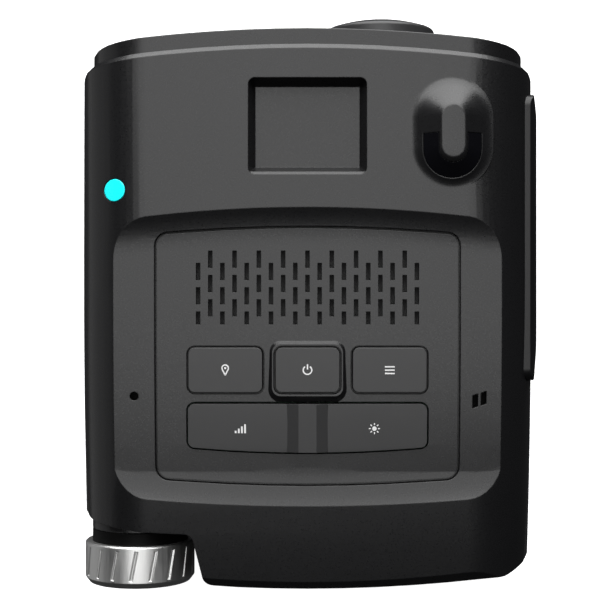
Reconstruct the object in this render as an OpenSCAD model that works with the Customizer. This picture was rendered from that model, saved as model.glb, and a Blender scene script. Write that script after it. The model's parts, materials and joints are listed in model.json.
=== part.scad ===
// Windshield radar detector with a built-in forward camera.
// +Y is the rear, which faces the driver; the camera and the nose face -Y; +Z is up.

/* [Body] */
// Width of the housing at its parting line
body_w = 105; // [100:1:110]
// Height of the flat top above the base
top_h = 34; // [32:1:36]
// Height of the parting line between the two covers
part_h = 18; // [17:0.5:19]
// Wall thickness of the covers
wall = 2.2; // [1.8:0.1:2.6]
// Distance from the datum to the nose
nose_y = 64.3; // [63:0.1:67]
// Distance from the datum to the rear edge of the covers
rear_y = 58.8; // [57:0.1:60]
// Distance from the datum to the rear face of the bezel
bezel_y = 62.6; // [61:0.1:64]
// Radius of the long curve of the rear edges, in plan
rear_r = 328; // [280:1:380]
// Radius of the long curve of the nose, in plan
nose_r = 354; // [300:1:400]
// Radius of the long forward fall of the top, in side view
fall_r = 374; // [340:1:420]

/* [Mount pocket] */
// Width of the pocket at its mouth
pocket_w = 26.4; // [24:0.1:28]
// Length of the pocket at its mouth
pocket_l = 21; // [19:0.1:23]
// Depth of the pocket
pocket_d = 4.8; // [4.2:0.1:5.2]
// Distance of the pocket from the datum
pocket_y = 40.6; // [39:0.1:42]
// Draft of each pocket wall, measured in plan
pocket_draft = 1.4; // [1:0.1:1.6]

/* [Control panel] */
// Width of the panel
panel_w = 67.5; // [66:0.1:69]
// Depth of the saddle below the top
saddle_d = 2; // [1.6:0.1:2.4]
// Thickness of the panel
panel_t = 1.8; // [1.5:0.1:2]
// Gap around the panel
panel_gap = 0.55; // [0.3:0.05:0.7]
// Gap around each key
key_gap = 0.42; // [0.25:0.01:0.5]
// Height of the key tops above the panel
key_lift = 0.8; // [0.5:0.1:1]
// Travel of the three keys
key_travel = 0.7; // [0.5:0.1:0.8]
// Pitch of the grille columns
grille_pitch = 2.72; // [2.6:0.01:2.8]
// Width of a grille slot
slot_w = 0.95; // [0.9:0.05:1.2]

/* [Camera] */
// Distance of the lens axis from the middle plane
lens_x = 39.3; // [39:0.1:39.4]
// Height of the lens axis
lens_z = 16.5; // [16:0.1:17]
// Outer radius of the knurled ring
ring_r = 12.7; // [12.3:0.05:12.8]
// Number of knurl grooves
knurls = 18; // [12:1:24]

/* [Laser sensor] */
// Height of the sensor hump above the top
hump_h = 4; // [3:0.1:4.5]
// Distance of the hump from the middle plane
hump_x = 32.1; // [31:0.1:33]
// Radius of the hump at its foot
hump_r = 9.3; // [8:0.05:9.6]

/* [Mute button] */
// Radius of the round mute button
mute_r = 12.8; // [12:0.1:13]
// Distance of the mute button from the middle plane
mute_x = 16.9; // [16:0.1:17]
// Height of the mute button's axis
mute_z = 16.8; // [16:0.1:17]
// Distance from the datum to the crown of the mute button
crown_y = 66.9; // [66.5:0.1:67.5]
// Radius of the button's domed face
dome_r = 35; // [32:1:40]

/* [Side panel] */
// How far the socket panel stands proud of the side
port_proud = 0.3; // [0.2:0.05:0.6]

/* [Hidden] */
$fn = 64;
ARC = 6;
shift_x = port_proud / 2;
shift_y = (crown_y - nose_y) / 2;
half_w = body_w / 2;
rear_half_w = half_w - 0.5;
rim = 1.1;
hump_y = 38.8;
level_y = 5;
saddle_back = 22.3;
saddle_front = 44.8;
saddle_r = 309;
saddle_run = 8.5;
floor_drop = saddle_d + wall;
pcb_z = 13;
pcb_t = 1.6;
deck = pcb_z + pcb_t + 0.1;
neck_r = 11.05;
tail_r = 9.4;
neck_back = 51.45;
ring_back = 54.3;
ring_front = 63.9;
key_board_z = 22.6;
key_board_t = 1.2;
switch_top = 26;
stem_z = switch_top + key_travel + 0.1;
flange_z = 28.2;
key_mid_y = -14.1;
key_l = 10.1;
side_key_w = 16.6;
side_key_x = 18.4;
power_key_w = 14.4;
key_r = 1.5;
rocker_w = 53.6;
rocker_back = -21.7;
rocker_front = -32.7;
rocker_pin_z = 27.4;
rocker_pin_r = 0.8;
rocker_stem_x = 18;
rocker_stem_y = -27;
switches_at = [[-side_key_x, key_mid_y], [0, key_mid_y], [side_key_x, key_mid_y],
    [-rocker_stem_x, rocker_stem_y], [rocker_stem_x, rocker_stem_y]];
grille_y = 4.3;
display_x = -22;
display_z = 17.2;
display_w = 43;
display_h = 21;
port_back = 49;
port_front = -17;
port_low = 7;
port_high = 26;
jack_y = 30;
usb_y = 13;
card_y = -3;
card_z = 15.3;
mic_at = [-38.9, -20];
light_at = [-43.2, 26.1];
light_r = 2.5;
slits_x = 38.6;
slits_y = -20.8;
window_mid = 11;
window_w = 60;
cover_screws_at = [[40.5, 42], [-40.5, 42], [40.5, -48], [-40.5, -26]];
board_screws_at = [[36, 46], [-36, 46], [36, -20], [-36, -20]];
key_posts_at = [[30.3, -9], [-30.3, -9], [30.3, -32], [-30.3, -32]];

// ---------- outline helpers ----------

function unit(v) = v / norm(v);

function cross2(a, b) = a.x * b.y - a.y * b.x;

// Points of the arc that rounds corner q = [x, y, r] between its neighbours p and s
function corner(p, q, s) =
    q.z == 0 ? [[q.x, q.y]] :
    let (b = [q.x, q.y],
         u = unit([p.x, p.y] - b),
         w = unit([s.x, s.y] - b),
         half = acos(u * w) / 2,
         turn = 180 - 2 * half,
         c = b + unit(u + w) * q.z / sin(half),
         d0 = b + u * q.z / tan(half) - c,
         d1 = b + w * q.z / tan(half) - c,
         n = max(2, ceil(turn / ARC)))
    [for (i = [0:n]) c + (sin(turn * (1 - i / n)) * d0 + sin(turn * i / n) * d1) / sin(turn)];

// A closed outline of [x, y, r] corners as plain points
function rounded(pts) =
    let (n = len(pts))
    [for (i = [0:n - 1]) each corner(pts[(i + n - 1) % n], pts[i], pts[(i + 1) % n])];

// One corner of an anticlockwise outline, moved in by t
function inset_corner(p, q, s, t) =
    let (b = [q.x, q.y],
         u = unit([p.x, p.y] - b),
         w = unit([s.x, s.y] - b),
         bulge = cross2(-u, w) >= 0 ? 1 : -1,
         n_in = unit([u.y - w.y, w.x - u.x]),
         half = acos(max(-1, min(1, u * w))) / 2,
         m = b + n_in * t / sin(half))
    [m.x, m.y, q.z == 0 ? 0 : max(0.2, q.z - bulge * t)];

// An anticlockwise outline moved in by t, or out where t is negative
function inset(pts, t) =
    let (n = len(pts))
    t == 0 ? pts :
    [for (i = [0:n - 1]) inset_corner(pts[(i + n - 1) % n], pts[i], pts[(i + 1) % n], t)];

// Rectangle with rounded corners, centred
function slab(w, l, r) =
    [[w / 2, -l / 2, r], [w / 2, l / 2, r], [-w / 2, l / 2, r], [-w / 2, -l / 2, r]];

// Drop of a long arc of radius r at distance x from its middle
function sag(x, r) = x * x / (2 * r);

// Height of the top skin at distance y from the datum
function top_z(y) = y > level_y ? top_h : top_h - sag(level_y - y, fall_r);

// ---------- master outlines ----------

// Plan of the covers
plan = [
    for (x = [48:-8:-48]) [x, rear_y - sag(x, rear_r), 0],
    [-rear_half_w, 53, 1.5],
    [-half_w, -48, 1.2],
    [-48.8, -49.4, 2],
    [-38, -50.8, 12],
    [-26.2, -51.4, 2.2],
    [-23.4, -63.4, 2.5],
    for (x = [-16:8:40]) [x, -nose_y + sag(x, nose_r), 0],
    [45.5, -61.6, 5],
    [half_w, -58.4, 1.5],
    [rear_half_w, 53, 1.5]];

// Plan of the rear bezel
bezel_plan = [
    for (x = [45:-7.5:-45]) [x, bezel_y - sag(x, rear_r), 0],
    [-half_w, 58, 3],
    [-half_w, 53, 0],
    [half_w, 53, 0],
    [half_w, 58, 3]];

// Right half of the cross-section, from the base up
half_section = [[43, 0, 4], [50, 8, 8], [half_w, part_h, 5], [49.6, 27.3, 15], [41.4, top_h, 15]];

section = concat(half_section,
    [for (i = [len(half_section) - 1:-1:0]) [-half_section[i].x, half_section[i].y, half_section[i].z]]);

// Side view of the nose and the base, open-ended at the rear and the top
profile = [
    [-40, 0, 20],
    [75, 0, 0],
    [75, top_h + 2, 0],
    [-67.5, top_h + 2, 0],
    [-67, 12, 6],
    [-62, 4.5, 6]];

module along_x(pts, w = 200) {
    rotate([90, 0, 90]) linear_extrude(w, center = true) polygon(pts);
}

module along_y(pts, l = 200) {
    rotate([90, 0, 0]) linear_extrude(l, center = true) polygon(pts);
}

module upright(pts, low, high) {
    translate([0, 0, low]) linear_extrude(high - low) polygon(pts);
}

// Cross-section drawn in by t, straight behind level_y and following the fall of the top ahead of it
module falling_section(t) {
    outline = rounded(inset(section, t));
    axis_z = top_h - fall_r;
    intersection() {
        along_y(outline);
        box_at(-80, 80, level_y, 90, -30, 60);
    }
    intersection() {
        translate([0, level_y, axis_z]) rotate([0, 90, 0]) rotate_extrude($fn = 360)
            polygon([for (p = outline) [p.y - axis_z, p.x]]);
        box_at(-80, 80, -90, level_y, -30, 60);
    }
}

// Solid body drawn in by t, before the parting line and the apertures are cut
module body_solid(t) {
    intersection() {
        upright(rounded(inset(plan, t)), -10, 60);
        falling_section(t);
        along_x(rounded(inset(profile, t)));
    }
}

// Everything below the top skin moved up by lift
module under_top(lift, w = 200) {
    along_x([[-90, -10], [75, -10], [75, top_h + lift],
        for (y = [level_y:-6:-90]) [y, top_z(y) + lift]], w);
}

module box_at(x0, x1, y0, y1, z0, z1) {
    translate([x0, y0, z0]) cube([x1 - x0, y1 - y0, z1 - z0]);
}

module post(x, y, z0, z1, r) {
    translate([x, y, z0]) cylinder(h = z1 - z0, r = r);
}

// Round bar along Y
module bar_y(x, z, y0, y1, r) {
    translate([x, y1, z]) rotate([90, 0, 0]) cylinder(h = y1 - y0, r = r);
}

// ---------- covers ----------

// Space above the saddle in the top: a floor that follows the top skin and rises in an arc at each end
module saddle_space() {
    floor_z = top_h - saddle_d;
    over = 1.2;
    steps = 8;
    foot = saddle_r - saddle_run;
    rear_k = saddle_d / pow(saddle_run, 2);
    front_foot_y = saddle_front - saddle_run;
    front_z = top_z(-front_foot_y) - saddle_d;
    front_fall = (level_y + front_foot_y) / fall_r;
    front_k = (top_z(-saddle_front) - front_z + front_fall * saddle_run) / pow(saddle_run, 2);
    rear_rise = [for (i = [0:steps]) let (u = (saddle_run + over) * i / steps)
        [foot + u, floor_z + rear_k * u * u]];
    front_rise = [for (i = [0:steps]) let (u = (saddle_run + over) * i / steps)
        [foot + u, front_z - front_fall * u + front_k * u * u]];
    difference() {
        union() {
            intersection() {
                translate([0, saddle_back - saddle_r, 0]) arc_sweep(rear_rise);
                box_at(-60, 60, 0, 60, 0, 60);
            }
            intersection() {
                translate([0, saddle_r - saddle_front, 0]) arc_sweep(front_rise);
                box_at(-60, 60, -60, 0, 0, 60);
            }
        }
        under_top(-saddle_d);
    }
}

// Ring-shaped space above a rising line of [radius, height] points
module arc_sweep(rise) {
    low = 20;
    high = 50;
    near = saddle_r - 70;
    rotate_extrude($fn = 360) polygon(concat([[near, low], [rise[0].x - 0.01, low]], rise,
        [[rise[len(rise) - 1].x, high], [near, high]]));
}

// Plan of the control panel, drawn in by t
function panel_plan(t) = rounded(inset([
    for (x = [27:-9:-27]) [x, 17.6 - sag(x, 360), 0],
    [-panel_w / 2, 16.1, 2.7],
    [-panel_w / 2, -38.4, 2.7],
    for (x = [-27:9:27]) [x, -39.8 + sag(x, 380), 0],
    [panel_w / 2, -38.4, 2.7],
    [panel_w / 2, 16.1, 2.7]], t));

// Pocket with drafted walls, grown by t
module pocket_space(t) {
    w = pocket_w / 2 + t;
    l = pocket_l / 2 + t;
    low = top_h - pocket_d - t;
    high = t == 0 ? top_h + 1 : top_h - 0.5;
    over = pocket_draft / pocket_d * (high - top_h);
    lip_run = 0.55;
    translate([0, pocket_y, 0]) intersection() {
        along_y([[-w + pocket_draft, low], [w - pocket_draft, low], [w + over, high], [-w - over, high]], 60);
        along_x([[-l + pocket_draft, low], [l - pocket_draft, low], [l + over, high],
            [-l - lip_run - 1.3 * (high - top_h), high], [-l + 0.1, top_h - 0.5]], 60);
        upright(rounded([[w, -l - lip_run, 1.5], [w, l, 1.5], [-w, l, 1.5], [-w, -l - lip_run, 1.5]]), 20, 40);
    }
}

// Soft hump over the laser sensor: a smooth bell swept round a stadium, lifted by lift
module hump_solid(lift) {
    spine = 2.4;
    reach = 3.2;
    fall = [[0, 1], [0.03, 0.985], [0.08, 0.94], [0.66, 0.24], [0.74, 0.15], [0.82, 0.08], [0.91, 0.025], [1, 0]];
    bell = concat([[0, -3], [hump_r, -3]],
        [for (i = [len(fall) - 1:-1:0]) [spine + (hump_r - spine) * fall[i].x, hump_h * fall[i].y + lift]],
        [[0, hump_h + lift]]);
    side = [for (p = bell) if (p.x > 0) p];
    outline = concat(side, [for (i = [len(side) - 1:-1:0]) [-side[i].x, side[i].y]]);
    translate([hump_x, hump_y, top_h]) {
        for (s = [-1, 1]) translate([0, s * reach, 0]) rotate_extrude($fn = 96) polygon(bell);
        along_y(outline, 2 * reach);
    }
}

// Plan of the laser window: a U round the spine, drawn in by t
module window_plan(t, low, high) {
    bend_y = 35.1;
    outer = 6.4 - t;
    inner = 3.2 + t;
    difference() {
        intersection() {
            union() {
                post(hump_x, bend_y, low, high, outer);
                box_at(hump_x - outer, hump_x + outer, bend_y, 60, low, high);
            }
            box_at(0, 60, 0, 38.4 - t, low, high);
        }
        post(hump_x, bend_y, low - 1, high + 1, inner);
        box_at(hump_x - inner, hump_x + inner, bend_y, 60, low - 1, high + 1);
    }
}

// Prism of the socket panel's outline seen from the side, drawn in by t
module port_prism(t) {
    translate([50, 0, 0]) along_x(rounded(inset([[port_front, port_low, 3], [port_back, port_low, 3],
        [port_back, port_high, 3], [port_front, port_high, 3]], t)), 20);
}

// Prism of the nose window's outline seen from the front, drawn in by t
module window_prism(t) {
    translate([0, -60, 0]) along_y(rounded([for (p = slab(window_w - 2 * t, 18 - 2 * t, 3))
        [p.x + window_mid, p.y + 15.2, p.z]]), 20);
}

// Band just inside the nose curve, from depth a to depth b
module nose_band(a, b) {
    translate([0, nose_r - nose_y, 0]) difference() {
        cylinder(h = 60, r = nose_r - a, $fn = 360);
        translate([0, 0, -1]) cylinder(h = 62, r = nose_r - b, $fn = 360);
    }
}

// Section drawn in by t and ended by the rear curve moved forward by d
module rim_slab(t, d) {
    wide = 64;
    intersection() {
        along_y(rounded(inset(section, t)), 400);
        upright(concat([for (x = [wide:-8:-wide]) [x, rear_y - d - sag(x, rear_r)]],
            [[-wide, -150], [wide, -150]]), -60, 90);
    }
}

// Everything ahead of the 45 degree chamfer round the rear rim
module rear_bevel() {
    over = 4;
    hull() {
        rim_slab(rim, 0);
        rim_slab(-over, rim + over);
    }
}

// Corner cut that follows the nose
module nose_bevel() {
    edge = top_z(-nose_y);
    translate([0, nose_r - nose_y, 0])
        cylinder(h = 60, r1 = nose_r + edge - 1.6, r2 = nose_r + edge - 61.6, $fn = 360);
}

// Outer skin of the whole housing, hollowed by the wall and open at the rear
module skin() {
    difference() {
        intersection() {
            body_solid(0);
            rear_bevel();
            nose_bevel();
        }
        body_solid(wall);
        translate([0, 62, 0]) along_y(rounded(inset(section, wall)), 30);
    }
}

// Openings that both covers share: nose window, lens seat and socket panel
module shared_openings() {
    window_prism(-0.1);
    bar_y(-lens_x, lens_z, -60, -30, tail_r + 0.1);
    bar_y(-lens_x, lens_z, -45.8, -44.4, 10);
    intersection() {
        port_prism(0);
        box_at(46, 60, -80, 80, 0, 40);
    }
}

// Boss round the lens seat
module lens_boss() {
    bar_y(-lens_x, lens_z, -neck_back + 0.1, -47.6, neck_r);
}

module top_cover() {
    color("#2e2f31") difference() {
        union() {
            skin();
            hump_solid(0);
            intersection() {
                pocket_space(1.6);
                body_solid(0);
            }
            intersection() {
                body_solid(1);
                box_at(-60, 60, -48, 24.5, 20, 60);
                difference() {
                    under_top(-0.5);
                    under_top(-floor_drop);
                }
            }
            intersection() {
                body_solid(1);
                for (p = cover_screws_at) post(p.x, p.y, part_h + 0.2, 40, 3);
            }
            lens_boss();
        }
        box_at(-60, 60, -80, 80, -1, part_h);
        intersection() {
            box_at(-60, 60, -80, 80, part_h - 1, part_h + 0.4);
            difference() {
                body_solid(-2);
                body_solid(0.6);
            }
        }
        hump_solid(-wall);
        saddle_space();
        intersection() {
            upright(panel_plan(-panel_gap), 20, 50);
            translate([0, 0, -panel_t - 0.05]) saddle_space();
        }
        upright(panel_plan(1.6), 10, 50);
        pocket_space(0);
        for (p = cover_screws_at) post(p.x, p.y, part_h, 25, 1);
        window_plan(-0.1, 30, 40);
        shared_openings();
        post(mic_at.x, mic_at.y, 20, 40, 0.98);
        post(light_at.x, light_at.y, 20, 40, light_r + 0.1);
        for (s = [-1, 1]) translate([slits_x + 0.95 * s, slits_y + 0.3 * s, 20]) slit_prism();
    }
}

// One slanted slit beside the panel
module slit_prism() {
    linear_extrude(20) polygon([[-0.62, -1.65], [0.62, -1.25], [0.62, 1.65], [-0.62, 1.25]]);
}

module bottom_cover() {
    color("#242527") difference() {
        union() {
            skin();
            intersection() {
                body_solid(0);
                for (p = cover_screws_at) post(p.x, p.y, -1, part_h, 3.4);
            }
            for (p = board_screws_at) post(p.x, p.y, 1, pcb_z - 0.05, 2.8);
            lens_boss();
        }
        box_at(-60, 60, -80, 80, part_h, 80);
        shared_openings();
        for (p = cover_screws_at) {
            post(p.x, p.y, -1, 5.2, 2.7);
            post(p.x, p.y, 5, 20, 1.2);
        }
        for (p = board_screws_at) post(p.x, p.y, 5, 20, 1.05);
        upright(rounded(slab(46.4, 22.4, 1.7)), -1, 0.35);
        for (x = [-14:4:14]) translate([x, -28, 0]) upright(rounded(slab(1.6, 12, 0.75)), -1, 4);
    }
}

// ---------- rear end ----------

module bezel_face(t) {
    intersection() {
        upright(rounded(inset(bezel_plan, t)), 0, 40);
        along_y(rounded(inset(section, wall + 0.15 + t)));
    }
}

module display_prism(t) {
    translate([0, 60, 0]) along_y(rounded([for (p = slab(display_w - 2 * t, display_h - 2 * t, 2))
        [p.x + display_x, p.y + display_z, p.z]]), 30);
}

module rear_bezel() {
    face_t = 2.4;
    lens_depth = 1.9;
    color("#303133") difference() {
        bezel_face(0);
        intersection() {
            along_y(rounded(inset(section, wall + 2)));
            union() {
                upright(rounded(inset(bezel_plan, face_t)), 0, 40);
                box_at(-60, 60, 45, 56, 0, 40);
            }
        }
        difference() {
            display_prism(-0.05);
            upright(rounded(inset(bezel_plan, lens_depth)), 0, 40);
        }
        display_prism(1.2);
        bar_y(mute_x, mute_z, 50, 80, mute_r + 0.3);
    }
}

module display_window() {
    color("#101114") intersection() {
        display_prism(0);
        box_at(-60, 60, 55, 70, 0, 40);
        difference() {
            upright(rounded(inset(bezel_plan, 0.25)), 1, 39);
            upright(rounded(inset(bezel_plan, 1.85)), 0, 40);
        }
    }
}

module mute_button() {
    edge_y = crown_y - sag(mute_r, dome_r);
    back = 57.1;
    tip_y = 56.9;
    color("#4a4b4e") {
        translate([mute_x, 0, mute_z]) rotate([-90, 0, 0]) rotate_extrude($fn = 128) polygon([
            [2.2, tip_y], [2.2, edge_y - 1.2], [mute_r - 1.6, edge_y - 1.6], [mute_r - 1.6, back],
            [mute_r, back], [mute_r, edge_y - 0.4],
            for (i = [8:-1:0]) let (r = (mute_r - 0.4) * i / 8) [r, crown_y - sag(r, dome_r)],
            [0, tip_y]]);
        difference() {
            bar_y(mute_x, mute_z, back, back + 1, mute_r + 0.9);
            bar_y(mute_x, mute_z, back - 1, back + 2, mute_r - 0.5);
            box_at(-20, 50, 50, 60, mute_z + 12, 40);
            box_at(-20, 50, 50, 60, 0, mute_z - 11.2);
        }
    }
}

module display_module() {
    color("#1b1c20") box_at(display_x - 19.5, display_x + 19, 54, 57.4, display_z - 9, display_z + 9.5);
}

module display_board() {
    color("#1f5d3a") box_at(-42.4, 33, 52.6, 53.85, 8.5, 27);
}

module mute_switch() {
    color("#2b2b2b") {
        box_at(mute_x - 3, mute_x + 3, 53.9, 55.4, mute_z - 3, mute_z + 3);
        bar_y(mute_x, mute_z, 55.35, 56, 1.6);
    }
}

module display_cable() {
    color("#c98b35") translate([display_x, 0, 0]) along_x([[45, deck], [52.4, deck], [52.4, 22], [52.2, 22],
        [52.2, deck + 0.2], [45, deck + 0.2]], 16);
}

// ---------- control panel and keys ----------

module key_prism(x, w, t, low, high) {
    translate([x, key_mid_y, 0]) upright(rounded(inset(slab(w, key_l, key_r), t)), low, high);
}

function rocker_plan(t) = rounded(inset([
    [rocker_w / 2, rocker_back, key_r],
    [-rocker_w / 2, rocker_back, key_r],
    [-rocker_w / 2, rocker_front + 1.2, key_r],
    for (x = [-18:6:18]) [x, rocker_front + sag(x, 290), 0],
    [rocker_w / 2, rocker_front + 1.2, key_r]], t));

// Raised collar round the power key, with sloped sides and round corners
module power_collar() {
    low = 30.5;
    high = 32.4;
    edge = 0.05;
    translate([0, key_mid_y, 0]) hull() {
        upright(rounded(slab(18.6, 15.6, 3.4)), low, low + edge);
        upright(rounded(slab(15.9, 11.7, 1.9)), high - edge, high);
    }
}

module grille_slots() {
    long = 3.85;
    for (c = [-9:9]) translate([c * grille_pitch, grille_y, 0]) {
        odd = abs(c) % 2 == 1;
        for (row = [-1:1]) {
            l = odd && row == -1 ? long - 0.95 : long;
            y = (odd ? -1.85 : 0.9) + row * 2 * grille_pitch + (long - l) / 2;
            translate([0, y + 0.05, 30]) cube([slot_w, l, 12], center = true);
        }
    }
}

module control_panel() {
    ear_w = 4.4;
    color("#313235") difference() {
        union() {
            difference() {
                intersection() {
                    upright(panel_plan(0), 20, 50);
                    translate([0, 0, -panel_t]) saddle_space();
                }
                saddle_space();
            }
            power_collar();
            for (p = key_posts_at) post(p.x, p.y, key_board_z + key_board_t + 0.05, 30, 1.8);
            box_at(-ear_w / 2, ear_w / 2, rocker_back + 0.35, rocker_back + 1.35, 26, 29.8);
            box_at(-ear_w / 2, ear_w / 2, rocker_front - 1.5, rocker_front - 0.35, 26, 29);
        }
        for (x = [-side_key_x, side_key_x]) key_prism(x, side_key_w, -key_gap, 20, 50);
        key_prism(0, power_key_w, -key_gap, 20, 50);
        upright(rocker_plan(-key_gap), 20, 50);
        grille_slots();
        bar_y(0, rocker_pin_z, -40, -15, rocker_pin_r + 0.05);
        for (p = key_posts_at) post(p.x, p.y, 20, 28, 0.75);
    }
}

// One push key: cap through the panel, flange and stem below it
module push_key(x, w) {
    intersection() {
        key_prism(x, w, 0, flange_z, 50);
        under_top(-saddle_d + key_lift);
    }
    key_prism(x, w, -0.65, flange_z, flange_z + 0.85);
    post(x, key_mid_y, stem_z, flange_z + 0.1, 1.6);
}

module mark_button() {
    color("#38393c") push_key(-side_key_x, side_key_w);
}

module power_button() {
    color("#38393c") push_key(0, power_key_w);
}

module program_button() {
    color("#38393c") push_key(side_key_x, side_key_w);
}

module rocker_key() {
    mid_y = (rocker_back + rocker_front) / 2;
    fall = atan((level_y - mid_y) / fall_r);
    color("#38393c") {
        intersection() {
            upright(rocker_plan(0), flange_z, 50);
            union() {
                under_top(-saddle_d + key_lift);
                translate([0, mid_y, top_z(mid_y) - saddle_d + key_lift]) rotate([fall, 0, 0])
                    along_y([[-4.6, -0.03], [4.6, -0.03], [2, 0.6], [-2, 0.6]], 30);
            }
        }
        box_at(-1.2, 1.2, rocker_front + 0.3, rocker_back - 0.3, rocker_pin_z, flange_z + 0.1);
        bar_y(0, rocker_pin_z, rocker_front - 1.4, rocker_back + 1.3, rocker_pin_r);
        for (s = [-1, 1]) post(s * rocker_stem_x, rocker_stem_y, stem_z, flange_z + 0.1, 1.6);
    }
}

module grille_cloth() {
    color("#0c0c0d") translate([0, grille_y, 0]) upright(rounded(slab(51, 18.4, 1)), 29.35, 29.75);
}

module speaker_frame() {
    color("#26272a") translate([0, grille_y, 0]) difference() {
        upright(rounded(slab(46, 20, 9)), 24.5, 29.2);
        upright(rounded(slab(42.4, 16.4, 7.2)), 25.5, 30);
        post(0, 0, 20, 30, 7.2);
    }
}

module speaker_cone() {
    color("#141416") translate([0, grille_y, 0]) {
        difference() {
            upright(rounded(slab(42, 16, 7)), 27, 28);
            post(0, 0, 20, 30, 5.5);
        }
        translate([0, 0, 27]) rotate_extrude() polygon([[0, 1.6], [2.5, 1.45], [4.4, 1], [5.6, 0.3], [5.6, 0],
            [4.4, 0.6], [2.5, 1.05], [0, 1.2]]);
    }
}

module speaker_magnet() {
    color("#77787c") post(0, grille_y, 19.4, 24.45, 8);
}

module key_board() {
    color("#1f5d3a") difference() {
        translate([0, -20.5, 0]) upright(rounded(slab(64.5, 27, 1.5)), key_board_z, key_board_z + key_board_t);
        for (p = key_posts_at) post(p.x, p.y, 20, 30, 0.95);
    }
}

module key_switches() {
    base = key_board_z + key_board_t + 0.02;
    color("#b9bbbe") for (p = switches_at) {
        box_at(p.x - 3, p.x + 3, p.y - 3, p.y + 3, base, base + 1.5);
        post(p.x, p.y, base + 1.4, switch_top, 1.7);
    }
}

// ---------- camera ----------

// Solid of revolution about the lens axis; points are [radius, distance forward]
module lens_lathe(pts) {
    translate([-lens_x, 0, lens_z]) rotate([90, 0, 0]) rotate_extrude($fn = 128) polygon(pts);
}

module lens_barrel() {
    color("#151618") lens_lathe([[7.9, 36.5], [tail_r, 36.5], [tail_r, neck_back], [neck_r, neck_back],
        [neck_r, 61.6], [9.7, 61.6], [9.7, 57], [7.9, 54]]);
}

module lens_ring() {
    bore_r = neck_r + 0.05;
    groove_l = 6.8;
    color("#b4b6ba") difference() {
        lens_lathe([[bore_r, ring_back], [ring_r - 0.35, ring_back], [ring_r, ring_back + 0.35],
            [ring_r, ring_front - 1.3], [ring_r - 1, ring_front], [9.9, ring_front],
            [9.4, ring_front - 0.5], [9.4, 61.75], [bore_r, 61.75]]);
        translate([-lens_x, -(ring_back + ring_front) / 2, lens_z])
            for (i = [0:knurls - 1])
                rotate([0, i * 360 / knurls, 0]) translate([0, 0.4, ring_r + 0.1]) rotate([90, 0, -11])
                    cylinder(h = groove_l, r = 0.42, center = true, $fn = 24);
    }
}

module lens_retainer() {
    color("#0e0e10") lens_lathe([[6.5, 54.4], [7.7, 54.4], [9.5, 57.3], [9.5, 60.4], [8.9, 60.4], [6.5, 56.2]]);
}

module lens_glass() {
    dome_r = 8.5;
    glass_r = 6.3;
    edge_y = 54.5;
    back_y = 50.6;
    color("#223044", 0.6) lens_lathe([[0, back_y], [glass_r, back_y], [glass_r, edge_y],
        for (i = [7:-1:0])
            let (r = glass_r * i / 8)
            [r, edge_y + sqrt(pow(dome_r, 2) - r * r) - sqrt(pow(dome_r, 2) - pow(glass_r, 2))]]);
}

module lens_cell() {
    color("#1a1b1d") lens_lathe([[6.4, 37.2], [7.8, 37.2], [7.8, 53.8], [6.4, 53.8], [6.4, 50.5], [5.4, 50.5],
        [5.4, 38], [6.4, 38]]);
}

module inner_lenses() {
    color("#3b4c63", 0.6) for (h = [40, 45]) lens_lathe([[0, h], [5.3, h + 0.6], [5.3, h + 2.2], [0, h + 2.8]]);
}

module lens_gasket() {
    color("#0a0a0a") lens_lathe([[tail_r + 0.15, 45.6], [9.8, 45.6], [9.8, 44.6], [tail_r + 0.15, 44.6]]);
}

module camera_holder() {
    color("#1a1b1d") translate([-lens_x, 0, lens_z]) difference() {
        box_at(-7.5, 6.2, -36.4, -33, -7.5, 7.5);
        box_at(-5, 5, -37, -32, -5, 5);
    }
}

module image_sensor() {
    color("#4c5560") translate([-lens_x, 0, lens_z]) box_at(-4.4, 4.4, -34.4, -33, -4.4, 4.4);
}

module camera_board() {
    color("#1f5d3a") translate([-lens_x, 0, lens_z]) box_at(-7.5, 6.2, -32.95, -31.75, -7.5, 7.5);
}

// ---------- windows, sensors and sockets ----------

module front_window() {
    color("#0c0d10") intersection() {
        window_prism(0);
        nose_band(0.3, 2.1);
    }
}

module laser_window() {
    color("#0b0b0e") intersection() {
        difference() {
            hump_solid(-0.05);
            hump_solid(-wall);
        }
        window_plan(0, 31.85, 40);
    }
}

module laser_sensor() {
    color("#2a1f2b") translate([hump_x, 35.1, 0]) {
        box_at(-5.6, 5.6, -5.5, 5.5, 25.7, 29.5);
        translate([0, 0, 29.4]) rotate_extrude() polygon([[0, 0], [3, 0], [3, 3.2], [2.6, 4.3], [1.6, 5.1], [0, 5.4]]);
    }
}

module side_panel() {
    end_dip = 0.6;
    color("#1d1e20") difference() {
        intersection() {
            along_y(rounded([[30, 0, 0], [43, 0, 4], [50.6, 8, 8], [half_w + port_proud - 0.4, 15, 6],
                [half_w + port_proud, 23.8, 2.5], [49.8, 27, 2], [41.4, top_h, 15], [30, top_h, 0]]), 160);
            upright(rounded([[44, port_front, 0], [half_w - end_dip, port_front, 0.3],
                [half_w + port_proud + 0.1, port_front + 11, 9], [half_w + port_proud + 0.1, port_back - 7, 7],
                [half_w - end_dip, port_back, 0.3], [44, port_back, 0]]), 0, 40);
            port_prism(0.15);
        }
        along_y(rounded(inset(section, wall + 0.05)), 170);
        box_at(40, 60, jack_y - 4.9, jack_y + 4.9, 16.2, 23);
        translate([50, 0, 0]) along_x(rounded([for (p = slab(9.8, 3.9, 1.8))
            [p.x + usb_y, p.y + deck + 1.65, p.z]]), 20);
        box_at(40, 60, card_y - 6, card_y + 6, card_z - 0.4, card_z + 1.1);
    }
}

module power_socket() {
    color("#17181a") difference() {
        box_at(35.2, 46.9, jack_y - 6, jack_y + 6, deck, 25);
        box_at(37, 50, jack_y - 4.9, jack_y + 4.9, 16.2, 23);
        box_at(40, 50, jack_y - 1.6, jack_y + 1.6, 22.5, 24.4);
    }
}

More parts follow.
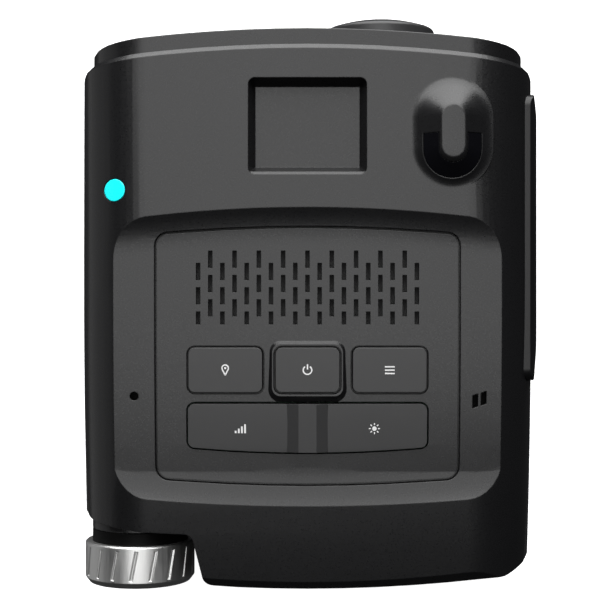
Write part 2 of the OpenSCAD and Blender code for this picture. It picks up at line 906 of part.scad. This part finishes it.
module usb_socket() {
    color("#a9acb0") translate([0, usb_y, deck + 1.65]) difference() {
        translate([44, 0, 0]) along_x(rounded(slab(9, 3.3, 1.5)), 8);
        translate([46, 0, 0]) along_x(rounded(slab(8.3, 2.6, 1.2)), 10);
    }
}

module card_socket() {
    color("#b3b5b8") difference() {
        box_at(33.4, 47.6, card_y - 7, card_y + 7, deck, deck + 2);
        box_at(34.4, 50, card_y - 5.6, card_y + 5.6, card_z - 0.1, card_z + 0.8);
    }
}

module memory_card() {
    color("#18191c") difference() {
        box_at(35.4, 50.6, card_y - 5.5, card_y + 5.5, card_z, card_z + 0.7);
        box_at(35, 42, card_y + 4.2, card_y + 6, card_z - 1, card_z + 2);
    }
}

module status_light() {
    color("#22c3e6") intersection() {
        post(light_at.x, light_at.y, 26, 36, light_r);
        body_solid(-0.15);
    }
}

module light_sensor() {
    color("#3a2f3c") box_at(slits_x - 2.4, slits_x + 2.4, slits_y - 2.4, slits_y + 2.4, 25.2, 28.3);
}

module microphone() {
    color("#8c8f94") post(mic_at.x, mic_at.y, 25.2, 28.3, 3);
}

module mount_magnets() {
    color("#9a9ca1") for (s = [-1, 1]) post(s * 6.5, pocket_y, 25.1, 27.5, 4.5);
}

module mount_plate() {
    color("#8a8d92") translate([0, pocket_y, 0]) upright(rounded(slab(23, 16, 1.5)), 24, 25.05);
}

// ---------- electronics ----------

module main_board() {
    color("#1d5637") difference() {
        box_at(-40, 40, -24, 50, pcb_z, pcb_z + pcb_t);
        for (p = board_screws_at) post(p.x, p.y, 0, 20, 1.2);
        for (p = cover_screws_at) post(p.x, p.y, 0, 20, 3.7);
    }
}

// Horn whose mouth faces away from y0: plan and side trapezoids, walls t thick
module horn(y0, y1, w0, w1, h0, h1, t) {
    over = y1 > y0 ? 1 : -1;
    difference() {
        intersection() {
            upright([[-w0, y0], [w0, y0], [w1, y1], [-w1, y1]], -20, 20);
            along_x([[y0, -h0], [y1, -h1], [y1, h1], [y0, h0]]);
        }
        intersection() {
            upright([[-w0 + t, y0 + over * t], [w0 - t, y0 + over * t], [w1 - t, y1 + over], [-w1 + t, y1 + over]],
                -20, 20);
            along_x([[y0 + over * t, -h0 + t], [y1 + over, -h1 + t], [y1 + over, h1 - t], [y0 + over * t, h0 - t]]);
        }
    }
}

module front_horn() {
    color("#a4a6a9") translate([19, 0, 14.5]) horn(-36, -59, 8, 20, 5, 7, 1);
}

module rear_horn() {
    color("#a4a6a9") translate([0, 0, 7.5]) horn(26, 51.5, 7, 14, 3.4, 4.5, 0.8);
}

module radar_module() {
    color("#c3c5c8") box_at(9, 29, -35.9, -26, 8, 21);
}

module gps_antenna() {
    color("#b79f7d") {
        box_at(-36, -18, 24, 42, deck, deck + 4);
        post(-27, 33, deck + 3.9, deck + 4.8, 1.1);
    }
}

module wireless_module() {
    color("#c3c5c8") box_at(12.5, 29, -14, 4, deck, deck + 2.4);
}

module processor_shield() {
    color("#c3c5c8") box_at(-17, 8, -20, 3, deck, deck + 3);
}

module backup_cells() {
    color("#27406b") for (x = [-34, -25]) bar_y(x, deck + 4, -6, 11, 4);
}

module board_screws() {
    color("#9b9da1") for (p = board_screws_at) {
        post(p.x, p.y, 6, pcb_z + pcb_t + 0.2, 1);
        post(p.x, p.y, pcb_z + pcb_t + 0.05, pcb_z + pcb_t + 1.5, 2);
    }
}

module cover_screws() {
    color("#55575b") for (p = cover_screws_at) difference() {
        union() {
            post(p.x, p.y, 3.2, 5.15, 2.35);
            post(p.x, p.y, 5, 24, 0.95);
        }
        translate([p.x, p.y, 3]) {
            cube([2.8, 0.6, 2], center = true);
            cube([0.6, 2.8, 2], center = true);
        }
    }
}

module key_board_screws() {
    color("#9b9da1") for (p = key_posts_at) {
        post(p.x, p.y, key_board_z - 1.2, key_board_z - 0.05, 1.6);
        post(p.x, p.y, key_board_z - 0.1, 27.5, 0.7);
    }
}

module label_plate() {
    color("#8f9194") upright(rounded(slab(46, 22, 1.5)), 0.05, 0.33);
}

// ---------- assembly ----------

// Sets the middle of the housing's own box over the origin
module place() {
    translate([-shift_x, -shift_y, 0]) children();
}

place() top_cover();
place() bottom_cover();
place() rear_bezel();
place() display_window();
place() mute_button();
place() control_panel();
place() mark_button();
place() power_button();
place() program_button();
place() rocker_key();
place() grille_cloth();
place() speaker_frame();
place() speaker_cone();
place() speaker_magnet();
place() key_board();
place() key_switches();
place() lens_barrel();
place() lens_ring();
place() lens_retainer();
place() lens_glass();
place() lens_gasket();
place() lens_cell();
place() inner_lenses();
place() camera_holder();
place() image_sensor();
place() camera_board();
place() front_window();
place() laser_window();
place() laser_sensor();
place() side_panel();
place() power_socket();
place() usb_socket();
place() card_socket();
place() memory_card();
place() main_board();
place() front_horn();
place() radar_module();
place() rear_horn();
place() gps_antenna();
place() wireless_module();
place() processor_shield();
place() display_module();
place() display_board();
place() mute_switch();
place() backup_cells();
place() mount_magnets();
place() mount_plate();
place() microphone();
place() status_light();
place() light_sensor();
place() display_cable();
place() cover_screws();
place() board_screws();
place() key_board_screws();
place() label_plate();
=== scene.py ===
"""Looks of a windshield radar detector with a built-in camera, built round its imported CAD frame."""

import json
import math

import bmesh
import bpy
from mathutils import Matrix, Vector
from mathutils.bvhtree import BVHTree


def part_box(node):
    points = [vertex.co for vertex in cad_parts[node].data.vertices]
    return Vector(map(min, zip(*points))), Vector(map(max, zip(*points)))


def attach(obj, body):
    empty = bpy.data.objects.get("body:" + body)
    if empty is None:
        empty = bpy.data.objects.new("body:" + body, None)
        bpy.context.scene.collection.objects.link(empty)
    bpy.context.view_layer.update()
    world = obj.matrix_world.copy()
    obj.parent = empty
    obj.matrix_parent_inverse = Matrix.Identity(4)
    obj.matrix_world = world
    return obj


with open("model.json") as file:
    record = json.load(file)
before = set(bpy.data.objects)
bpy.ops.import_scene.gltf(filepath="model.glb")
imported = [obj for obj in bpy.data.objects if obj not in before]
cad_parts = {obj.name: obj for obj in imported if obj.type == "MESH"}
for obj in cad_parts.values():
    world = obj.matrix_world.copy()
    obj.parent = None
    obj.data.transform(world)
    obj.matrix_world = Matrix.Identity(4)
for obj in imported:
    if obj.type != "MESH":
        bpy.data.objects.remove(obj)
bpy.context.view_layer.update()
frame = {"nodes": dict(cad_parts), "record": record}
nodes = frame["nodes"]
node_body = {n: body for body, members in frame["record"]["behaviour"]["bodies"].items() for n in members}
MM = 0.001


# ---------- camera, lights, floor ----------

TOP_PLANE = 34 * MM
CAMERA_DISTANCE = 300 * MM


def add_camera():
    data = bpy.data.cameras.new("camera")
    data.sensor_width = 36
    data.lens = 79.0
    data.clip_start = 0.01
    camera = bpy.data.objects.new("camera", data)
    camera.location = (-0.15 * MM, -1.4 * MM, TOP_PLANE + CAMERA_DISTANCE)
    bpy.context.scene.collection.objects.link(camera)
    bpy.context.scene.camera = camera


def add_light(name, place, aim, width, height, radiance, tint=(1, 1, 1)):
    """A soft rectangular light whose face has the given radiance."""
    data = bpy.data.lights.new(name, "AREA")
    data.shape = "RECTANGLE"
    data.size = width
    data.size_y = height
    data.energy = radiance * math.pi * width * height
    data.color = tint
    light = bpy.data.objects.new(name, data)
    light.location = place
    light.rotation_euler = (Vector(aim) - Vector(place)).to_track_quat("-Z", "Y").to_euler()
    light.visible_camera = False
    bpy.context.scene.collection.objects.link(light)


def add_lights():
    add_light("overhead", (-0.02, 0.08, 1.05), (0, 0.0, 0.03), 0.8, 0.88, 2.1)
    add_light("rear", (0.0, 0.85, 0.38), (0, 0.0, 0.05), 1.4, 1.45, 5.0)
    add_light("left", (-0.7, 0.0, -0.15), (0, 0, 0.02), 0.8, 0.8, 0.3)


def add_floor():
    mesh = bpy.data.meshes.new("floor")
    half = 4.0
    mesh.from_pydata([(-half, -half, 0), (half, -half, 0), (half, half, 0), (-half, half, 0)], [], [(0, 1, 2, 3)])
    floor = bpy.data.objects.new("floor", mesh)
    bpy.context.scene.collection.objects.link(floor)
    material = bpy.data.materials.new("floor_paint")
    material.use_nodes = True
    shader = material.node_tree.nodes["Principled BSDF"]
    shader.inputs["Base Color"].default_value = (0.86, 0.86, 0.86, 1)
    shader.inputs["Roughness"].default_value = 0.9
    shader.inputs["Emission Color"].default_value = (1, 1, 1, 1)
    shader.inputs["Emission Strength"].default_value = 0.9
    mesh.materials.append(material)
    floor.visible_diffuse = False
    floor.visible_glossy = False
    floor.visible_shadow = False


def add_world():
    world = bpy.data.worlds.new("studio")
    world.use_nodes = True
    back = world.node_tree.nodes["Background"]
    back.inputs["Color"].default_value = (0.9, 0.92, 0.95, 1)
    back.inputs["Strength"].default_value = 0.025
    bpy.context.scene.world = world
    bpy.context.scene.view_settings.view_transform = "Standard"


# ---------- materials ----------


def link(tree, a, b):
    tree.links.new(a, b)


def noise(tree, coords, scale, detail, rough=0.5):
    n = tree.nodes.new("ShaderNodeTexNoise")
    n.inputs["Scale"].default_value = scale
    n.inputs["Detail"].default_value = detail
    n.inputs["Roughness"].default_value = rough
    link(tree, coords, n.inputs["Vector"])
    return n.outputs["Fac"]


def spread(tree, value, low, high):
    """Turns a noise value, mostly 0.3 to 0.7, into low to high."""
    m = tree.nodes.new("ShaderNodeMapRange")
    m.inputs["From Min"].default_value = 0.3
    m.inputs["From Max"].default_value = 0.7
    m.inputs["To Min"].default_value = low
    m.inputs["To Max"].default_value = high
    link(tree, value, m.inputs["Value"])
    return m.outputs["Result"]


def finish_material(name, colour, rough, metal=0.0, grain=(6000, 0.01), mottle=0.08, rough_by=0.05,
                    stretch=(1, 1, 1), coat=0.0, specular=0.5, worn_edge=0.0):
    """Principled finish with fine grain (size per metre, depth in mm), cloudy colour and uneven gloss.

    worn_edge, in mm, softens how edges catch the light.
    """
    material = bpy.data.materials.new(name)
    material.use_nodes = True
    tree = material.node_tree
    shader = tree.nodes["Principled BSDF"]
    where = tree.nodes.new("ShaderNodeTexCoord").outputs["Object"]
    if stretch != (1, 1, 1):
        mapping = tree.nodes.new("ShaderNodeMapping")
        mapping.inputs["Scale"].default_value = stretch
        link(tree, where, mapping.inputs["Vector"])
        where = mapping.outputs["Vector"]
    cloud = noise(tree, where, 140, 3)
    fleck = noise(tree, where, grain[0] * 0.5, 2)
    mix = tree.nodes.new("ShaderNodeMix")
    mix.data_type = "RGBA"
    mix.inputs["A"].default_value = (*(c * (1 - mottle) for c in colour), 1)
    mix.inputs["B"].default_value = (*(min(1, c * (1 + mottle)) for c in colour), 1)
    both = tree.nodes.new("ShaderNodeMath")
    both.operation = "ADD"
    link(tree, spread(tree, cloud, 0, 0.5), both.inputs[0])
    link(tree, spread(tree, fleck, 0, 0.5), both.inputs[1])
    link(tree, both.outputs[0], mix.inputs["Factor"])
    link(tree, mix.outputs["Result"], shader.inputs["Base Color"])
    link(tree, spread(tree, fleck, rough - rough_by, rough + rough_by), shader.inputs["Roughness"])
    shader.inputs["Metallic"].default_value = metal
    shader.inputs["Coat Weight"].default_value = coat
    shader.inputs["Coat Roughness"].default_value = 0.08
    shader.inputs["Specular IOR Level"].default_value = specular
    bump = tree.nodes.new("ShaderNodeBump")
    bump.inputs["Strength"].default_value = 0.6
    bump.inputs["Distance"].default_value = grain[1] * MM
    link(tree, noise(tree, where, grain[0], 2), bump.inputs["Height"])
    if worn_edge:
        soft = tree.nodes.new("ShaderNodeBevel")
        soft.samples = 4
        soft.inputs["Radius"].default_value = worn_edge * MM
        link(tree, soft.outputs["Normal"], bump.inputs["Normal"])
    link(tree, bump.outputs["Normal"], shader.inputs["Normal"])
    return material


BLACK = (0.006, 0.006, 0.0065)
finishes = {
    "housing": finish_material("housing_plastic", BLACK, 0.31, worn_edge=0.3),
    "panel": finish_material("panel_plastic", BLACK, 0.31, worn_edge=0.15),
    "key": finish_material("key_rubber", (0.018, 0.018, 0.0185), 0.37, grain=(8000, 0.006), worn_edge=0.12),
    "base_shell": finish_material("base_plastic", (0.018, 0.018, 0.019), 0.5, grain=(4000, 0.02)),
    "bezel": finish_material("bezel_plastic", BLACK, 0.31),
    "mute_cap": finish_material("mute_cap_plastic", (0.026, 0.026, 0.027), 0.38, specular=0.42),
    "dark_window": finish_material("dark_window", (0.003, 0.003, 0.004), 0.12, grain=(3000, 0.001), specular=0.25, worn_edge=0.1),
    "side_trim": finish_material("side_trim_plastic", (0.005, 0.005, 0.0055), 0.36, specular=0.35, worn_edge=0.3),
    "barrel_black": finish_material("barrel_black", (0.003, 0.003, 0.003), 0.4, specular=0.05),
    "ring_silver": finish_material("ring_metal", (0.7, 0.7, 0.69), 0.38, metal=1.0, grain=(5000, 0.004),
                                   stretch=(1, 0.06, 1), mottle=0.06),
    "optic": finish_material("optic_glass", (0.01, 0.012, 0.018), 0.03, grain=(500, 0.0005), coat=1.0),
    "rubber_black": finish_material("rubber_black", (0.004, 0.004, 0.004), 0.75, specular=0.1),
    "mesh_cloth": finish_material("mesh_cloth", (0.03, 0.03, 0.03), 0.9, grain=(3000, 0.06)),
    "circuit": finish_material("circuit_board", (0.015, 0.09, 0.04), 0.4),
    "can_steel": finish_material("can_steel", (0.55, 0.55, 0.54), 0.35, metal=1.0),
    "screw_steel": finish_material("screw_steel", (0.3, 0.3, 0.3), 0.35, metal=1.0),
    "magnet_nickel": finish_material("magnet_nickel", (0.6, 0.58, 0.54), 0.25, metal=1.0),
    "horn_metal": finish_material("horn_metal", (0.5, 0.48, 0.42), 0.4, metal=1.0),
    "ceramic_tan": finish_material("ceramic_tan", (0.45, 0.32, 0.2), 0.6),
    "cone_black": finish_material("cone_paper", (0.015, 0.015, 0.015), 0.85),
    "cell_blue": finish_material("cell_sleeve", (0.03, 0.09, 0.3), 0.35),
    "flex_amber": finish_material("flex_amber", (0.5, 0.22, 0.03), 0.35),
    "lamp_cyan": finish_material("lamp_cyan", (0.01, 0.93, 0.95), 0.3, mottle=0.03),
    "label_grey": finish_material("label_grey", (0.5, 0.5, 0.5), 0.5),
    "chip_black": finish_material("chip_black", (0.02, 0.02, 0.02), 0.55),
}
slot_of = {part["node"]: part["material_slot"] for part in frame["record"]["subparts"]}


# ---------- CAD nodes ----------


EDGES = {"lens_ring": 0.12, "display_window": 0.12, "mark_button": 0.15, "power_button": 0.15, "program_button": 0.15}
EXACT = {"top_cover": 20, "control_panel": 20, "laser_window": 20, "side_panel": 20, "rocker_key": 6}


def dress(name):
    """Gives a CAD node its finish, smooths its curves and rounds its edges, unless its finish does that."""
    o = nodes[name]
    mesh = o.data
    mesh.materials.clear()
    mesh.materials.append(finishes[slot_of[name]])
    for extra in ("custom_normal", "sharp_edge", "sharp_face"):
        if extra in mesh.attributes:
            mesh.attributes.remove(mesh.attributes[extra])
    mesh.polygons.foreach_set("use_smooth", [True] * len(mesh.polygons))
    weld = o.modifiers.new("weld", "WELD")
    weld.merge_threshold = 1e-6
    if name in EXACT:
        split = o.modifiers.new("edges", "EDGE_SPLIT")
        split.split_angle = math.radians(EXACT[name])
    else:
        if name != "lens_ring":
            flat = o.modifiers.new("flat", "DECIMATE")
            flat.decimate_type = "DISSOLVE"
            flat.angle_limit = math.radians(0.6)
        bevel = o.modifiers.new("edges", "BEVEL")
        bevel.width = EDGES.get(name, 0.25) * MM
        bevel.segments = 3
        bevel.limit_method = "ANGLE"
        bevel.angle_limit = math.radians(20)
        bevel.use_clamp_overlap = False
        bevel.harden_normals = True
    shade = o.modifiers.new("shade", "WEIGHTED_NORMAL")
    shade.keep_sharp = True


# ---------- plain symbols printed on the keys ----------


def stroke(points, width):
    """Flat pieces that follow a line of points, one per step."""
    out = []
    for (ax, ay), (bx, by) in zip(points, points[1:]):
        length = math.hypot(bx - ax, by - ay)
        nx, ny = (ay - by) / length * width / 2, (bx - ax) / length * width / 2
        out.append([(ax + nx, ay + ny), (ax - nx, ay - ny), (bx - nx, by - ny), (bx + nx, by + ny)])
    return out


def arc(radius, start, end, steps=24, centre=(0, 0)):
    turn = [math.radians(start + (end - start) * i / steps) for i in range(steps + 1)]
    return [(centre[0] + radius * math.cos(a), centre[1] + radius * math.sin(a)) for a in turn]


def bar(x0, x1, y0, y1):
    return [[(x0, y0), (x1, y0), (x1, y1), (x0, y1)]]


LINE = 0.3
pin = stroke(arc(0.72, -35, 215, centre=(0, 0.45)) + [(0, -1.15), (0.59, 0.04)], LINE) + [arc(0.24, 0, 345, 23, (0, 0.45))]
power = stroke(arc(0.95, -235, 55), LINE) + bar(-LINE / 2, LINE / 2, 0.15, 1.3)
menu = [q for y in (-0.75, 0, 0.75) for q in bar(-1.1, 1.1, y - LINE / 2, y + LINE / 2)]
steps = [q for i in range(4) for q in bar(-1.3 + 0.7 * i, -0.9 + 0.7 * i, -1.05, -0.5 + 0.5 * i)]
sun = [arc(0.5, 0, 345, 23)]
for turn in range(8):
    c, d = math.cos(turn * math.pi / 4), math.sin(turn * math.pi / 4)
    sun += stroke([(0.8 * c, 0.8 * d), (1.25 * c, 1.25 * d)], 0.24)

white = finish_material("legend_ink", (0.72, 0.72, 0.72), 0.5, grain=(9000, 0.002), mottle=0.05)


def add_symbol(name, key, across, along, flats):
    """Prints flats on a key; across and along place its middle, from 0 to 1 of the key's top."""
    low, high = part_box(key)
    middle = (low[0] + (high[0] - low[0]) * across, low[1] + (high[1] - low[1]) * along)
    key_mesh = bmesh.new()
    key_mesh.from_mesh(nodes[key].data)
    tree = BVHTree.FromBMesh(key_mesh)
    bm = bmesh.new()
    for flat in flats:
        tops, feet = [], []
        for x, y in flat:
            place = Vector((middle[0] + x * MM, middle[1] + y * MM, high[2] + 0.01))
            z = tree.ray_cast(place, Vector((0, 0, -1)))[0].z
            tops.append(bm.verts.new((place.x, place.y, z + 0.02 * MM)))
            feet.append(bm.verts.new((place.x, place.y, z - 0.05 * MM)))
        bm.faces.new(tops)
        bm.faces.new(feet[::-1])
        for i in range(len(flat)):
            j = (i + 1) % len(flat)
            bm.faces.new((tops[i], feet[i], feet[j], tops[j]))
    bmesh.ops.recalc_face_normals(bm, faces=bm.faces)
    mesh = bpy.data.meshes.new(name)
    bm.to_mesh(mesh)
    bm.free()
    key_mesh.free()
    mesh.materials.append(white)
    symbol = bpy.data.objects.new(name, mesh)
    bpy.context.scene.collection.objects.link(symbol)
    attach(symbol, node_body[key])


for name in nodes:
    dress(name)

add_symbol("pin_symbol", "mark_button", 0.5, 0.5, pin)
add_symbol("power_symbol", "power_button", 0.5, 0.5, power)
add_symbol("menu_symbol", "program_button", 0.5, 0.5, menu)
add_symbol("signal_symbol", "rocker_key", 0.22, 0.5, steps)
add_symbol("sun_symbol", "rocker_key", 0.78, 0.5, sun)

add_camera()
add_lights()
add_floor()
add_world()
